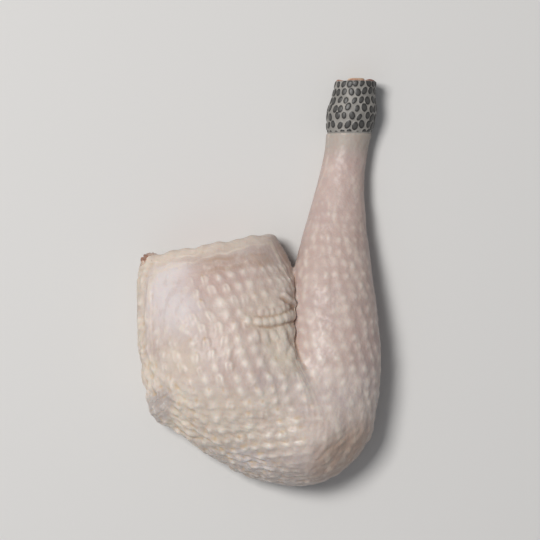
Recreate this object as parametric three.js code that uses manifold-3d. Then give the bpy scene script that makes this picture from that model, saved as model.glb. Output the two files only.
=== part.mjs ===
// A raw chicken leg quarter: thigh and drumstick folded at the knee, lying skin side up.
//
// Millimetres, +Z up. Y runs from the knee at the front to the hock at the back, the thigh
// lies on the -X side and the drumstick on the +X side. Inside the group the knee's foremost
// skin is at Y = 0 and the surface that the leg lies on is at Z = 0; the group is then moved
// so that the origin is under the middle of the whole leg.
//
// Each limb is a grid: rows across the limb, each a closed ring of points. The rings are
// found on a simple form, and every point is then pushed out by the skin that fills the
// angle between the limbs, by the follicles and by the folds.

import * as THREE from "three";
import Module from "manifold-3d";

const wasm = await Module();
wasm.setup();

// The thigh.
const THIGH_CENTRE = { x: -12, y: 52 };
const THIGH_WIDEST = 12; // height of its widest line above the surface
const THIGH_SINK = 4.5; // how far its round underside would bulge below the surface
const THIGH_FULLNESS = 2.5; // above 2, the top is flatter and the sides are steeper
// Its outline from above, before the cut at the hip: knee, crease, hip, flank, and back.
const THIGH_OUTLINE = [
  [14, 0.8], [22, 3], [29, 9], [33, 18], [32.5, 31], [26.5, 45], [19.5, 58], [16.8, 68], [16.4, 78],
  [14.8, 90], [10, 101], [0, 113], [-22, 119], [-38, 112], [-46.8, 99], [-50.2, 91], [-50.8, 82],
  [-50.4, 62], [-48.4, 45], [-45.2, 33.8], [-35, 24.2], [-18.9, 12.4], [-5.5, 4.6], [5, 2],
];
// Height of the crown of the top, along Y.
const THIGH_CROWN = [[0, 33], [20, 38], [45, 43], [70, 41], [90, 36], [106, 31]];
const FLANK_FALL = 0.1; // how much lower the crown lies for each millimetre towards the flank
// Middle of each row from the knee to the cut at the hip, X along Y, and how far the row is
// turned from straight across the leg, in degrees.
const THIGH_MIDDLE = [[9, 27], [16, 20.5], [26, 11], [48, -4], [75, -14], [102, -20]];
const THIGH_TURN = [[9, 45], [26, 38], [48, 28], [75, 15], [102, 10.5]];
const SKIN_EDGE = 2; // thickness of the skin and fat where the cut shows them
const MEAT_RECESS = 1.8; // how far the cut meat lies back from the skin's edge
// Muscles that swell a little at the cut: X, Z, how wide each is and how far it swells.
const MUSCLES = [[-34, 17, 9, 1.6], [-17, 24, 10, 2], [-1, 19, 8, 1.7], [-19, 8, 11, 1.5]];

// The drumstick: where its axis runs, how thick it is, and how flat it has settled.
const SHIN_X = [
  [2, 18.6], [8, 20.5], [13, 22.5], [18.5, 24.6], [24, 26.6], [40, 29.2], [58, 30.2], [77, 30.8],
  [92, 31.4], [106, 32.4], [120, 34], [133, 35.8], [150, 38.6],
];
const SHIN_RADIUS = [
  [24, 21.2], [40, 21.3], [58, 20.9], [77, 18.9], [92, 16.4], [106, 13.4], [120, 11], [133, 9.6],
  [142, 9.3], [150, 10],
];
const SHIN_FLATNESS = 0.87; // height over width
const SHIN_SETTLED = 0.86; // height of the axis over the upright radius
const KNEE_Y = 24; // where it starts to round off towards the knee
const KNEE_LENGTH = 23.2; // and over what length
const SHIN_END = 149; // where feathered skin gives way to scales

// The skin that fills the angle between the limbs, wide at the knee and gone along the crease.
const FILLET = [[0, 1], [4, 7], [10, 15], [22, 20], [34, 14], [52, 5], [66, 1.5]];

// Follicles: bumps in rows, each row half a pitch along from the last.
const PER_FOLLICLE = 3; // points, and rows, from one follicle to the next
const ROW_STEP = 2.2;
const THIGH_TOP_POINTS = 48;
const THIGH_UNDER_POINTS = 10;
const SHIN_TOP_POINTS = 33;
const SHIN_UNDER_POINTS = 7;
const SHIN_ROW_STEP = 2.5;
const PLAIN_ROW_STEP = 4.2; // between rows where the drumstick has no bumps
const PLAIN_FROM = 118;
const BUMP_HEIGHT = 1.15;

// Folds of the skin, as lines seen from above.
const CREASE_FOLD = { line: [[-5.5, 69.3], [1.7, 68.3], [5.9, 68.9], [11.3, 71], [16.5, 73.8]], depth: 1.5, width: 1.9 };
const CREASE_ROLL = { line: [[13.2, 77], [14, 70], [14.6, 62], [17, 54]], depth: -2.2, width: 4 };
const FLANK_ROLL = { line: [[-46.5, 92], [-47.2, 74], [-46.6, 56], [-44.5, 44]], depth: -1.3, width: 3.2 };
const FLANK_FOLD = { line: [[-41.5, 93], [-42.3, 74], [-42, 58], [-39.5, 47]], depth: 0.8, width: 2.2 };
const FOLDS = [CREASE_FOLD, CREASE_ROLL, FLANK_ROLL, FLANK_FOLD];

// The thigh bone, whose round head shows at the hip cut.
const FEMUR_HEAD = { x: -44.4, y: 93.2, z: 14.5 };
const FEMUR_KNEE = { x: 14, y: 26, z: 16 };
const FEMUR_PROFILE = [[0, 5.4], [0.04, 5.2], [0.1, 4.2], [0.2, 3.8], [0.5, 3.6], [0.8, 4], [0.92, 6.4], [1, 7]];
const FEMUR_SIDES = 12;

// The scaled stub beyond the hock, with the shank bone showing at its cut end.
const STUB_END = { x: 41.2, y: 171, z: 10.4 };
const STUB_PROFILE = [[0, 9.6], [0.18, 10.4], [0.4, 10.6], [0.7, 9.2], [1, 8.6]];
const STUB_HEIGHT = 0.9; // height over width
const SCALES_ROUND = 15;
const SCALES_ALONG = 5;
const SCALE_HEIGHT = 0.55;
const SHANK_RADIUS = 3.6;
const SHANK_PROUD = 0.8; // how far the bone stands out of the cut end

const GAP = 0.3; // between pieces that touch

const blend = (from, to, t) => from + (to - from) * t;
// 0 at the one value and 1 at the other, level beyond both; either may be the larger.
const smooth = (zero, one, at) => THREE.MathUtils.smoothstep((at - zero) / (one - zero), 0, 1);

// A smooth function of one value through points [at, value], level beyond both ends.
function curveThrough(points) {
  const slope = points.map((point, n) => {
    const before = points[Math.max(n - 1, 0)];
    const after = points[Math.min(n + 1, points.length - 1)];
    return (after[1] - before[1]) / (after[0] - before[0]);
  });
  return (at) => {
    if (at <= points[0][0]) return points[0][1];
    if (at >= points.at(-1)[0]) return points.at(-1)[1];
    const n = points.findIndex((point) => point[0] > at) - 1;
    const width = points[n + 1][0] - points[n][0];
    const t = (at - points[n][0]) / width;
    const rise = t * t * (3 - 2 * t);
    return (
      blend(points[n][1], points[n + 1][1], rise) +
      width * (slope[n] * t * (1 - t) ** 2 - slope[n + 1] * t * t * (1 - t))
    );
  };
}

const crownAlong = curveThrough(THIGH_CROWN);
const middleAlong = curveThrough(THIGH_MIDDLE);
const turnAlong = curveThrough(THIGH_TURN);
const shinX = curveThrough(SHIN_X);
const shinRadius = curveThrough(SHIN_RADIUS);
const filletAlong = curveThrough(FILLET);

// How far the thigh's outline lies from its centre, for each whole degree.
const thighReach = (() => {
  const corners = THIGH_OUTLINE.map(([x, y]) => new THREE.Vector3(x, y, 0));
  const reach = new Array(360).fill(0);
  for (const p of new THREE.CatmullRomCurve3(corners, true, "centripetal").getPoints(4000)) {
    const angle = THREE.MathUtils.radToDeg(Math.atan2(p.y - THIGH_CENTRE.y, p.x - THIGH_CENTRE.x));
    reach[(Math.round(angle) + 360) % 360] = Math.hypot(p.x - THIGH_CENTRE.x, p.y - THIGH_CENTRE.y);
  }
  return reach;
})();

// How far out a point of the plan is, from 0 at the thigh's centre to 1 at its outline.
function thighShare(x, y) {
  const angle = (THREE.MathUtils.radToDeg(Math.atan2(y - THIGH_CENTRE.y, x - THIGH_CENTRE.x)) + 360) % 360;
  const before = Math.floor(angle);
  const reach = blend(thighReach[before], thighReach[(before + 1) % 360], angle - before);
  return Math.hypot(x - THIGH_CENTRE.x, y - THIGH_CENTRE.y) / reach;
}

const crownAt = (x, y) => crownAlong(y) - FLANK_FALL * Math.max(0, THIGH_CENTRE.x - x);

// 1 on the thigh's surface, less inside and more outside.
function thighLevel(x, y, z) {
  const half = z > THIGH_WIDEST ? crownAt(x, y) - THIGH_WIDEST : THIGH_WIDEST + THIGH_SINK;
  return thighShare(x, y) ** THIGH_FULLNESS + ((z - THIGH_WIDEST) / half) ** 2;
}
const thighDistance = (p) => 20 * (Math.sqrt(thighLevel(p.x, p.y, p.z)) - 1);

const shinHeight = (y) => shinRadius(y) * SHIN_FLATNESS;
const shinCentre = (y) => new THREE.Vector3(shinX(y), y, shinHeight(y) * SHIN_SETTLED);

// Distance from the drumstick's surface, negative inside it.
function shinDistance(p) {
  const centre = shinCentre(p.y);
  const ends = (Math.max(0, KNEE_Y - p.y) * shinRadius(p.y)) / KNEE_LENGTH;
  return Math.hypot(p.x - centre.x, (p.z - centre.z) / SHIN_FLATNESS, ends) - shinRadius(p.y);
}

// How far a limb's skin stands out to fill the angle between thigh and drumstick, and how far
// it is sunk once it is inside the other limb.
function fillet(p, toOther) {
  const reach = filletAlong(p.y);
  const near = Math.max(0, 1 - Math.max(0, toOther) / reach);
  const filled = (reach / 4) * near * near * smooth(14, 2, p.x - shinX(p.y));
  return filled + Math.max(-7, 1.3 * Math.min(0, toOther)) * smooth(0, 10, p.z);
}

function distanceToLine(x, y, line) {
  let nearest = Infinity;
  for (let n = 1; n < line.length; n++) {
    const [ax, ay] = line[n - 1];
    const [bx, by] = line[n];
    const along = ((x - ax) * (bx - ax) + (y - ay) * (by - ay)) / ((bx - ax) ** 2 + (by - ay) ** 2);
    const t = THREE.MathUtils.clamp(along, 0, 1);
    nearest = Math.min(nearest, Math.hypot(x - blend(ax, bx, t), y - blend(ay, by, t)));
  }
  return nearest;
}

// Folds and rolls of the skin seen from above: rolls stand out and folds are sunk.
function foldRelief(p) {
  if (p.z < THIGH_WIDEST) return 0;
  return FOLDS.reduce((sum, { line, depth, width }) => sum - depth * Math.exp(-((distanceToLine(p.x, p.y, line) / width) ** 2)), 0);
}

// A number from 0 to 1 that is always the same for the same follicle.
function uneven(column, row) {
  const s = Math.sin(column * 127.1 + row * 311.7) * 43758.5453;
  return s - Math.floor(s);
}

// A follicle's bump at a point of the grid, where every other row is shifted by half a step.
function bump(column, row) {
  const across = Math.round(row / PER_FOLLICLE);
  const steps = column + (row % 2) / 2 - (across % 2) * (PER_FOLLICLE / 2);
  const along = Math.round(steps / PER_FOLLICLE);
  const away = Math.hypot(steps - along * PER_FOLLICLE, row - across * PER_FOLLICLE);
  return (0.65 + 0.6 * uneven(along, across)) * Math.exp(-((away / 0.85) ** 2));
}

// Bumps stand up on the top, less near the hip, where the skin is stretched, and on the flank.
function thighBumps(p, rowsToHip) {
  const top = smooth(THIGH_WIDEST - 3, THIGH_WIDEST + 5, p.z);
  const fromHip = smooth(1, 8, rowsToHip);
  const stretched = 1 - 0.6 * smooth(26, 8, Math.hypot(p.x + 34, p.y - 88));
  return BUMP_HEIGHT * top * fromHip * stretched;
}
const shinBumps = (p) => 0.8 * BUMP_HEIGHT * smooth(8, 16, p.z) * smooth(122, 100, p.y) * smooth(2, 12, p.y);

// Points at even steps along a line of points: count of them, the first a share of a step on
// from the start, and the last a whole step before the point where the next would lie.
function evenSteps(points, count, shift = 0) {
  const far = [0];
  for (let n = 1; n < points.length; n++) far.push(far[n - 1] + points[n].distanceTo(points[n - 1]));
  let n = 1;
  return Array.from({ length: count }, (_, step) => {
    const at = (far.at(-1) * (step + shift)) / count;
    while (n < points.length - 1 && far[n] < at) n++;
    return points[n - 1].clone().lerp(points[n], (at - far[n - 1]) / (far[n] - far[n - 1]));
  });
}

const lengthOf = (points) => points.reduce((sum, p, n) => sum + (n ? p.distanceTo(points[n - 1]) : 0), 0);

// A row of points: over the top from the -X side to the +X side, then back underneath.
function ringOf(pointAt, row, topCount, underCount) {
  const arc = (from, to) => Array.from({ length: 121 }, (_, step) => pointAt(blend(from, to, step / 120)));
  return [...evenSteps(arc(Math.PI, 0), topCount, (row % 2) / 2), ...evenSteps(arc(0, -Math.PI), underCount)];
}

// The thigh's surface on the ray from the middle of a row, at an angle in the row's plane.
function thighPoint(middle, angle) {
  const turn = THREE.MathUtils.degToRad(turnAlong(middle.y));
  const ray = new THREE.Vector3(Math.cos(angle) * Math.cos(turn), Math.cos(angle) * Math.sin(turn), Math.sin(angle));
  const start = new THREE.Vector3(middle.x, middle.y, THIGH_WIDEST);
  const at = (far) => start.clone().addScaledVector(ray, far);
  let [inside, outside] = [0, 80];
  for (let n = 0; n < 26; n++) {
    const half = (inside + outside) / 2;
    const p = at(half);
    if (thighLevel(p.x, p.y, p.z) < 1) inside = half;
    else outside = half;
  }
  return at(inside);
}

// Rows of the thigh from the knee to the hip cut, at even steps over its crown.
function thighRows() {
  const crown = Array.from({ length: 401 }, (_, step) => {
    const y = blend(THIGH_MIDDLE[0][0], THIGH_MIDDLE.at(-1)[0], step / 400);
    const x = middleAlong(y);
    const rise = Math.sqrt(Math.max(0, 1 - thighShare(x, y) ** THIGH_FULLNESS));
    return new THREE.Vector3(x, y, blend(THIGH_WIDEST, crownAt(x, y), rise));
  });
  const middles = [...evenSteps(crown, Math.round(lengthOf(crown) / ROW_STEP)), crown.at(-1)];
  return middles.map((middle, row) =>
    ringOf((angle) => thighPoint(middle, angle), row, THIGH_TOP_POINTS, THIGH_UNDER_POINTS),
  );
}

// The drumstick's surface in the row at y, at an angle round its axis.
function shinPoint(y, angle) {
  const across = new THREE.Vector3(Math.cos(angle), 0, SHIN_FLATNESS * Math.sin(angle));
  return shinCentre(y).addScaledVector(across, roundEnd(y));
}

// Rows of the drumstick from the round end at the knee to where the scales start.
function shinRows() {
  const sideTo = (from, to) =>
    Array.from({ length: 401 }, (_, step) => shinPoint(blend(from, to, (step / 400) ** 2), 0));
  const bumpy = sideTo(KNEE_Y - KNEE_LENGTH + 0.02, PLAIN_FROM);
  const plain = sideTo(PLAIN_FROM, SHIN_END);
  const rows = [
    ...evenSteps(bumpy, Math.round(lengthOf(bumpy) / SHIN_ROW_STEP)).slice(1),
    ...evenSteps(plain, Math.round(lengthOf(plain) / PLAIN_ROW_STEP)),
    plain.at(-1),
  ];
  return rows.map(({ y }, row) =>
    ringOf((angle) => shinPoint(y, angle), row, SHIN_TOP_POINTS, SHIN_UNDER_POINTS),
  );
}

// Radius of the drumstick, closing to nothing at its round end.
function roundEnd(y) {
  const full = shinRadius(Math.max(y, KNEE_Y));
  const before = Math.max(0, KNEE_Y - y) / KNEE_LENGTH;
  return full * Math.sqrt(Math.max(0, 1 - before * before));
}

// Pushes every point of the rows out along the surface by relief(point, row, column).
function pushOut(rows, relief) {
  const at = (row, column) => rows[Math.min(Math.max(row, 0), rows.length - 1)].at(column % rows[0].length);
  return rows.map((ring, row) =>
    ring.map((p, column) => {
      const along = at(row + 1, column).clone().sub(at(row - 1, column));
      const round = at(row, column + 1).clone().sub(at(row, column - 1));
      const out = along.cross(round).negate().normalize();
      return p.clone().addScaledVector(out, relief(p, row, column));
    }),
  );
}

// A closed solid from rings of points, each end closed by a fan to its own middle point.
function solidOfRings(rings, firstMiddle, lastMiddle) {
  const size = rings[0].length;
  const points = [...rings.flat(), firstMiddle, lastMiddle];
  const [first, last] = [points.length - 2, points.length - 1];
  const faces = [];
  for (let column = 0; column < size; column++) {
    const next = (column + 1) % size;
    for (let row = 0; row < rings.length - 1; row++) {
      const [a, b] = [row * size + column, row * size + next];
      const [c, d] = [a + size, b + size];
      if (row % 2) faces.push(a, b, d, a, d, c);
      else faces.push(a, b, c, b, d, c);
    }
    faces.push(first, next, column);
    const end = (rings.length - 1) * size;
    faces.push(last, end + column, end + next);
  }
  const position = new Float32Array(points.flatMap((p) => [p.x, p.y, p.z]));
  const made = new wasm.Manifold(
    new wasm.Mesh({ numProp: 3, vertProperties: position, triVerts: new Uint32Array(faces) }),
  );
  return made;
}

const middleOf = (ring) =>
  ring.reduce((sum, p) => sum.add(p), new THREE.Vector3()).divideScalar(ring.length);

// A plain three.js solid as a solid for joining and cutting.
function solidOfGeometry(geometry) {
  const flat = geometry.index ? geometry.toNonIndexed() : geometry;
  const at = flat.getAttribute("position");
  const known = new Map();
  const position = [];
  const faces = [];
  for (let n = 0; n < at.count; n++) {
    const p = [at.getX(n), at.getY(n), at.getZ(n)];
    const key = p.map((value) => value.toFixed(4)).join();
    if (!known.has(key)) {
      known.set(key, known.size);
      position.push(...p);
    }
    faces.push(known.get(key));
  }
  const kept = [];
  for (let n = 0; n < faces.length; n += 3) {
    const [a, b, c] = faces.slice(n, n + 3);
    if (a !== b && b !== c && c !== a) kept.push(a, b, c);
  }
  return new wasm.Manifold(
    new wasm.Mesh({ numProp: 3, vertProperties: new Float32Array(position), triVerts: new Uint32Array(kept) }),
  );
}

function meshOf(name, solid, colour, roughness) {
  const { numProp, vertProperties, triVerts } = solid.getMesh();
  const position = new Float32Array((vertProperties.length / numProp) * 3);
  for (let n = 0; n < position.length / 3; n++)
    position.set(vertProperties.subarray(n * numProp, n * numProp + 3), n * 3);
  const geometry = new THREE.BufferGeometry();
  geometry.setAttribute("position", new THREE.BufferAttribute(position, 3));
  geometry.setIndex(new THREE.BufferAttribute(new Uint32Array(triVerts), 1));
  geometry.computeVertexNormals();
  const mesh = new THREE.Mesh(geometry, new THREE.MeshStandardMaterial({ color: colour, roughness, metalness: 0 }));
  mesh.name = name;
  return mesh;
}

// How far the meat swells out of the cut at a point.
function swelling(p) {
  const most = MUSCLES.map(([x, z, wide, high]) => high * Math.exp(-(Math.hypot(p.x - x, p.z - z) ** 2) / wide ** 2));
  return Math.max(...most);
}

// The thigh with its cut end: the skin's edge as a rim, and the meat a little back inside it.
function thighSolid() {
  const plain = thighRows();
  const rows = pushOut(plain, (p, row, column) => {
    const bumps = column < THIGH_TOP_POINTS ? thighBumps(p, plain.length - 1 - row) * bump(column, row) : 0;
    return fillet(p, shinDistance(p)) + bumps + foldRelief(p);
  });
  const rim = rows.at(-1);
  const middle = middleOf(rim);
  const inwards = (inset, share) =>
    rim.map((p) => {
      const towards = middle.clone().sub(p);
      const q = p.clone().addScaledVector(towards, inset / towards.length());
      q.lerp(middle, share);
      if (share > 0) q.y += swelling(q) * smooth(0, 0.4, share) - MEAT_RECESS;
      return q;
    });
  const meat = [0.05, 0.2, 0.4, 0.6, 0.8].map((share) => inwards(SKIN_EDGE, share));
  middle.y += swelling(middle) - MEAT_RECESS;
  return solidOfRings([...rows, inwards(SKIN_EDGE, 0), ...meat], middleOf(rows[0]), middle);
}

function shinSolid() {
  const rows = pushOut(shinRows(), (p, row, column) => {
    const bumps = column < SHIN_TOP_POINTS ? shinBumps(p) * bump(column, row) : 0;
    return fillet(p, thighDistance(p)) + bumps;
  });
  const first = middleOf(rows[0]);
  first.y = KNEE_Y - KNEE_LENGTH;
  return solidOfRings(rows, first, middleOf(rows.at(-1)));
}

// A round solid along the line between two points, from a profile of [share of the length, radius].
function turnedBetween(from, to, profile, grow = 0) {
  const start = new THREE.Vector3(from.x, from.y, from.z);
  const span = new THREE.Vector3(to.x, to.y, to.z).sub(start);
  const length = span.length();
  const radius = curveThrough(profile);
  const outline = [new THREE.Vector2(0, -grow - profile[0][1])];
  const steps = 14;
  for (let step = 1; step <= 5; step++) {
    const a = (Math.PI / 2) * (step / 6 - 1);
    outline.push(new THREE.Vector2((profile[0][1] + grow) * Math.cos(a), (profile[0][1] + grow) * Math.sin(a)));
  }
  for (let step = 0; step <= steps; step++)
    outline.push(new THREE.Vector2(radius(step / steps) + grow, (length * step) / steps));
  outline.push(new THREE.Vector2(0, length + profile.at(-1)[1] * 0.6 + grow));
  const geometry = new THREE.LatheGeometry(outline, FEMUR_SIDES);
  geometry.applyQuaternion(new THREE.Quaternion().setFromUnitVectors(new THREE.Vector3(0, 1, 0), span.normalize()));
  geometry.translate(start.x, start.y, start.z);
  return solidOfGeometry(geometry);
}

// The stub: rings along its axis, with a raised plate for each scale.
function stubSolid() {
  const start = shinCentre(SHIN_END + GAP);
  const end = new THREE.Vector3(STUB_END.x, STUB_END.y, STUB_END.z);
  const radius = curveThrough(STUB_PROFILE);
  const rows = SCALES_ALONG * 3;
  const columns = SCALES_ROUND * 3;
  const rings = Array.from({ length: rows + 1 }, (_, row) => {
    const share = row / rows;
    const centre = start.clone().lerp(end, share);
    return Array.from({ length: columns }, (_, column) => {
      const angle = Math.PI - (2 * Math.PI * column) / columns;
      const shifted = column + (Math.floor(row / 3) % 2);
      const onScale = row % 3 > 0 && shifted % 3 > 0;
      const out = radius(share) + (onScale ? SCALE_HEIGHT : 0);
      return new THREE.Vector3(
        centre.x + out * Math.cos(angle),
        centre.y,
        centre.z + out * STUB_HEIGHT * Math.sin(angle),
      );
    });
  });
  return solidOfRings(rings, start, end);
}

// Everything below the surface that the leg lies on.
const belowSurface = solidOfGeometry(new THREE.BoxGeometry(400, 400, 100).translate(0, 80, -50));

const femur = turnedBetween(FEMUR_HEAD, FEMUR_KNEE, FEMUR_PROFILE);
const femurSeat = turnedBetween(FEMUR_HEAD, FEMUR_KNEE, FEMUR_PROFILE, GAP);

const shankStart = shinCentre(SHIN_END + 3);
const shankDirection = new THREE.Vector3(STUB_END.x, STUB_END.y, STUB_END.z).sub(shankStart);
function shankSolid(grow) {
  const long = shankDirection.length() + SHANK_PROUD + 2 * grow;
  const geometry = new THREE.CylinderGeometry(SHANK_RADIUS + grow, SHANK_RADIUS + grow, long, 20);
  geometry.translate(0, long / 2 - grow, 0);
  const turn = new THREE.Quaternion().setFromUnitVectors(
    new THREE.Vector3(0, 1, 0),
    shankDirection.clone().normalize(),
  );
  geometry.applyQuaternion(turn).translate(shankStart.x, shankStart.y, shankStart.z);
  return solidOfGeometry(geometry);
}

const limbs = thighSolid().add(shinSolid());
const leg = limbs.subtract(belowSurface).subtract(femurSeat);
const stub = stubSolid().subtract(belowSurface).subtract(shankSolid(GAP));

const group = new THREE.Group();
group.name = "chicken_leg_quarter";
group.add(meshOf("leg_quarter", leg, 0xd9c6b8, 0.45));
group.add(meshOf("hock_stub", stub, 0x4a4a47, 0.5));
group.add(meshOf("femur", femur, 0xa9705c, 0.5));
group.add(meshOf("shank_bone", shankSolid(0), 0xb98a74, 0.5));

const box = new THREE.Box3().setFromObject(group);
const middle = box.getCenter(new THREE.Vector3());
group.position.set(-middle.x, -middle.y, 0);

export default group;
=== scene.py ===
# %% [markdown]
# A raw chicken leg quarter
#
# The leg lies skin side up, thigh and drumstick folded at the knee. Everything on it is soft
# and grown rather than made, so there are no edges or panels to model. This lesson builds the
# flesh as a number field, a function that is negative inside the leg, and meshes the surface
# where the field is zero. Two limbs then melt into each other at the knee as real skin does.
# The skin's bumps, folds and wrinkles are pushed out of that mesh afterwards.

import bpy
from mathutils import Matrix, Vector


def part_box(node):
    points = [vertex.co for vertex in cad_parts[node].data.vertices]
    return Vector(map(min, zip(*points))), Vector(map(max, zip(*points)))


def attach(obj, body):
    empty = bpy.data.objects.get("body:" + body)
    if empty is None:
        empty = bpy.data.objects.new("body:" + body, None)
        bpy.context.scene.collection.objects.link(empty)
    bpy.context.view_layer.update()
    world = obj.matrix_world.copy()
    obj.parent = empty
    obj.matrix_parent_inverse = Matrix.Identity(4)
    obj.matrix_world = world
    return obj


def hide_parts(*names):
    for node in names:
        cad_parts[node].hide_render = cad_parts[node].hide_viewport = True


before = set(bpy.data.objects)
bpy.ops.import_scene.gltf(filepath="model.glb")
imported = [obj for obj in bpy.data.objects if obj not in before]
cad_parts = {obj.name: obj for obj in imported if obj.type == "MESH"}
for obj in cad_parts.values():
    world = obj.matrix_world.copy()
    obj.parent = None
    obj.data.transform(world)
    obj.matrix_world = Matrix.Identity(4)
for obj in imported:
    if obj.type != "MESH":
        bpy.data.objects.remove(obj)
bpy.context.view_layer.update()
print("nodes", sorted(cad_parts))

# %% Imports
import itertools
import math

import bpy
import numpy as np
import openvdb

# %% [markdown]
# Units and colours. The leg is worked out in millimetres on its own plan, where Y is 0 at the
# knee's foremost skin, and is moved into the frame when a mesh is made. Colours are written
# as the sRGB values that an eye picks from a screen, and one function turns them to linear.

# %% Units, colours and the one node helper
MM = 0.001
STUB_END_Y = 171.0  # the stub's far end on the plan
PLAN_X = 0.05  # the plan's origin in the frame
PLAN_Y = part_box("hock_stub")[1][1] / MM - STUB_END_Y
TO_FRAME = np.array([PLAN_X, PLAN_Y, 0.0])


def linear(colour):
    """An sRGB hex colour as linear RGBA."""
    values = [int(colour[n : n + 2], 16) / 255 for n in (1, 3, 5)]
    return [v / 12.92 if v <= 0.04045 else ((v + 0.055) / 1.055) ** 2.4 for v in values] + [1.0]


def add(tree, kind, inputs=(), **settings):
    """Adds a node: settings are its properties, inputs its sockets' values or what they link to."""
    made = tree.nodes.new(kind)
    for name, value in settings.items():
        setattr(made, name, value)
    for name, value in dict(inputs).items():
        if isinstance(value, bpy.types.NodeSocket):
            tree.links.new(value, made.inputs[name])
        else:
            made.inputs[name].default_value = value
    return made


print("the plan's origin is at", TO_FRAME, "mm")

# %% [markdown]
# The camera looks straight down, as the photograph does, from far enough that the sides of
# the leg hardly lean. The picture is 540 pixels square at 0.42 mm a pixel.

# %% Camera
PIXEL = 0.42
PICTURE = 540
PICTURE_MIDDLE = (5.0, 91.1)  # the plan's point at the middle of the picture
WIDEST_HEIGHT = 14  # the leg's outline is at about this height, so the scale holds there
CAMERA_HEIGHT = 1100
SENSOR = 36

camera_data = bpy.data.cameras.new("camera")
camera_data.sensor_width = SENSOR
camera_data.lens = SENSOR * (CAMERA_HEIGHT - WIDEST_HEIGHT) / (PIXEL * PICTURE)
camera_data.clip_end = 10
camera = bpy.data.objects.new("camera", camera_data)
camera.location = (
    (PICTURE_MIDDLE[0] + PLAN_X) * MM,
    (PICTURE_MIDDLE[1] + PLAN_Y) * MM,
    CAMERA_HEIGHT * MM,
)
bpy.context.collection.objects.link(camera)
bpy.context.scene.camera = camera
print("lens", round(camera_data.lens), "mm")

# %% [markdown]
# Soft studio light. One large lamp on the left gives the bumps their bright and dark sides, a
# weaker one fills the shade, and the world is dim and neutral. The floor is pale.
# The Standard view shows a colour as it was picked, where the default view greys pale skin.

# %% Lights and floor
def area_light(name, place, size, power, colour):
    """A square lamp, in metres and watts, that points at the middle of the leg."""
    data = bpy.data.lights.new(name, "AREA")
    data.size = size
    data.energy = power
    data.color = linear(colour)[:3]
    lamp = bpy.data.objects.new(name, data)
    lamp.location = place
    lamp.rotation_euler = (-lamp.location).to_track_quat("-Z", "Y").to_euler()
    bpy.context.collection.objects.link(lamp)


def material(piece, name):
    """Gives a piece a new material, whose node tree and shader it returns."""
    made = bpy.data.materials.new(name)
    made.use_nodes = True
    piece.data.materials.append(made)
    return made.node_tree, made.node_tree.nodes["Principled BSDF"]


bpy.context.scene.view_settings.view_transform = "Standard"
area_light("key", (-0.6, 0.34, 1.5), 0.5, 22.0, "#fffdfb")
area_light("fill", (-0.5, -0.9, 1.4), 1.2, 1.5, "#f2f5ff")

world = bpy.data.worlds.new("studio")
world.use_nodes = True
background = world.node_tree.nodes["Background"].inputs
background["Color"].default_value = linear("#e8eaee")
background["Strength"].default_value = 0.26
bpy.context.scene.world = world

FLOOR_HALF = 1.5
floor_mesh = bpy.data.meshes.new("floor")
corners = [(-1, -1), (1, -1), (1, 1), (-1, 1)]
floor_mesh.from_pydata([(a * FLOOR_HALF, b * FLOOR_HALF, 0) for a, b in corners], [], [(0, 1, 2, 3)])
floor = bpy.data.objects.new("floor", floor_mesh)
bpy.context.collection.objects.link(floor)
tree, shader = material(floor, "pale_painted_board")
shader.inputs["Base Color"].default_value = linear("#d4d3d1")
shader.inputs["Roughness"].default_value = 0.7

# %% [markdown]
# Three small tools carry all the shapes. A curve is a smooth function through a few points.
# Steps from one value to another are eased. Noise is a smooth random field, the same on each
# run, that keeps grown things from looking machined.

# %% Steps, curves and lines
def step(zero, one, at):
    """0 at the value zero, 1 at the value one and level beyond both; either may be larger."""
    t = np.clip((at - zero) / (one - zero), 0, 1)
    return t * t * (3 - 2 * t)


def highest(values):
    """The largest of several values at each point."""
    return np.maximum.reduce(values)


def between(a, b, share):
    """The value that share of the way from a to b."""
    return a + (b - a) * share


def curve(points):
    """A smooth function through points (at, value), level beyond both ends."""
    at, value = np.array(points, float).T
    slope = np.empty_like(value)
    slope[1:-1] = (value[2:] - value[:-2]) / (at[2:] - at[:-2])
    slope[[0, -1]] = (np.diff(value) / np.diff(at))[[0, -1]]

    def through(x):
        x = np.clip(x, at[0], at[-1])
        n = np.clip(np.searchsorted(at, x, side="right") - 1, 0, len(at) - 2)
        width = at[n + 1] - at[n]
        t = (x - at[n]) / width
        bend = width * (slope[n] * t * (1 - t) ** 2 - slope[n + 1] * t * t * (1 - t))
        return between(value[n], value[n + 1], step(0, 1, t)) + bend

    return through


def to_line(x, y, line):
    """Distance on the plan to a line of points."""
    nearest = np.full(np.shape(x), np.inf)
    for (ax, ay), (bx, by) in zip(line, line[1:]):
        dx, dy = bx - ax, by - ay
        t = np.clip(((x - ax) * dx + (y - ay) * dy) / (dx**2 + dy**2), 0, 1)
        nearest = np.minimum(nearest, np.hypot(x - ax - dx * t, y - ay - dy * t))
    return nearest


print("a quarter of the way, a step is", step(0, 1, 0.25))

# %% Noise and lumps
SHUFFLE = np.array([127.1, 311.7, 74.7])  # unrelated numbers, so that neighbours differ
CELL_SCATTER = 0.7  # how much of its cell a swelling's middle may lie in


def random_at(cells, seed):
    """A number from 0 to 1 that is always the same for the same whole numbers."""
    shuffled = np.sin(cells @ SHUFFLE[: cells.shape[-1]] + 17.3 * seed) * 43758.5453
    return shuffled - np.floor(shuffled)


def noise(points, seed):
    """Smooth random values from -1 to 1 that change over about one unit of points."""
    cell = np.floor(points)
    t = step(0, 1, points - cell)
    total = np.zeros(len(points))
    for corner in itertools.product((0, 1), repeat=3):
        share = np.prod(np.where(corner, t, 1 - t), axis=1)
        total += share * random_at(cell + corner, seed)
    return 2 * total - 1


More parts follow.
